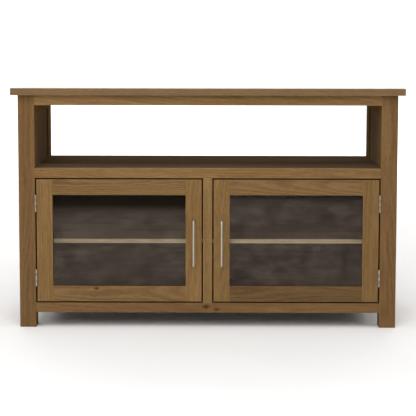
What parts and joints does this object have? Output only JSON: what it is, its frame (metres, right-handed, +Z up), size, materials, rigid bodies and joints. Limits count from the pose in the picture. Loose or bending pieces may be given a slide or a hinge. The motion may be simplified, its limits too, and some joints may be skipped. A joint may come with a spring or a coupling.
{
  "type": "media cabinet",
  "caption": "Low oak media cabinet with an open bay over cupboards behind framed glass doors with slim bar handles.",
  "frame": {"origin": "on the floor, in the middle of the whole object's width and depth, handles included", "axes": "+X to the right seen from the front, +Y to the back, +Z up; the doors face -Y"},
  "size_m": [1.2, 0.459, 0.74],
  "materials": {
    "oak_frame": "satin lacquered oak, grain along each piece",
    "oak_doors": "satin lacquered oak, a little lighter than the frame",
    "oak_boards": "satin lacquered oak, jointed from staves",
    "oak_shelves": "pale satin oak veneer with a lipped front edge",
    "back_plywood": "dull stained plywood",
    "door_glass": "clear float glass with a soft reflection",
    "steel_handles": "satin brushed",
    "steel_hardware": "satin plated",
    "catch_plastic": "moulded brown nylon with a bare magnet face"
  },
  "bodies": {
    "carcass": {"top_board": "oak_frame", "front_apron": "oak_frame", "rear_apron": "oak_frame", "front_mid_rail": "oak_frame", "rear_mid_rail": "oak_frame", "front_bottom_rail": "oak_frame", "rear_bottom_rail": "oak_frame", "centre_post": "oak_frame", "front_post_left": "oak_frame", "rear_post_left": "oak_frame", "side_top_rail_left": "oak_frame", "side_bottom_rail_left": "oak_frame", "side_panel_left": "oak_boards", "front_post_right": "oak_frame", "rear_post_right": "oak_frame", "side_top_rail_right": "oak_frame", "side_bottom_rail_right": "oak_frame", "side_panel_right": "oak_boards", "deck_board": "oak_boards", "base_board": "oak_boards", "centre_partition": "oak_boards", "back_panel": "back_plywood", "shelf_left": "oak_shelves", "shelf_right": "oak_shelves", "shelf_peg_left_front": "steel_hardware", "shelf_peg_left_rear": "steel_hardware", "shelf_peg_right_front": "steel_hardware", "shelf_peg_right_rear": "steel_hardware", "shelf_peg_centre_front": "steel_hardware", "shelf_peg_centre_rear": "steel_hardware", "magnet_catch_left": "catch_plastic", "magnet_catch_right": "catch_plastic", "hinge_frame_leaf_left_top": "steel_hardware", "hinge_pin_left_top": "steel_hardware", "hinge_frame_leaf_left_bottom": "steel_hardware", "hinge_pin_left_bottom": "steel_hardware", "hinge_frame_leaf_right_top": "steel_hardware", "hinge_pin_right_top": "steel_hardware", "hinge_frame_leaf_right_bottom": "steel_hardware", "hinge_pin_right_bottom": "steel_hardware"},
    "left_door": {"door_hinge_stile_left": "oak_doors", "door_handle_stile_left": "oak_doors", "door_top_rail_left": "oak_doors", "door_bottom_rail_left": "oak_doors", "glazing_bead_left": "oak_doors", "door_glass_left": "door_glass", "door_handle_left": "steel_handles", "strike_plate_left": "steel_hardware", "hinge_door_leaf_left_top": "steel_hardware", "hinge_door_leaf_left_bottom": "steel_hardware"},
    "right_door": {"door_hinge_stile_right": "oak_doors", "door_handle_stile_right": "oak_doors", "door_top_rail_right": "oak_doors", "door_bottom_rail_right": "oak_doors", "glazing_bead_right": "oak_doors", "door_glass_right": "door_glass", "door_handle_right": "steel_handles", "strike_plate_right": "steel_hardware", "hinge_door_leaf_right_top": "steel_hardware", "hinge_door_leaf_right_bottom": "steel_hardware"}
  },
  "joints": [
    {"name": "left_door_hinge", "type": "hinge", "parent": "carcass", "child": "left_door", "pos_m": [-0.52775, -0.2038, 0.27], "axis": [0, 0, -1], "range_deg": [0, 170]},
    {"name": "right_door_hinge", "type": "hinge", "parent": "carcass", "child": "right_door", "pos_m": [0.52775, -0.2038, 0.27], "axis": [0, 0, 1], "range_deg": [0, 170]}
  ]
}
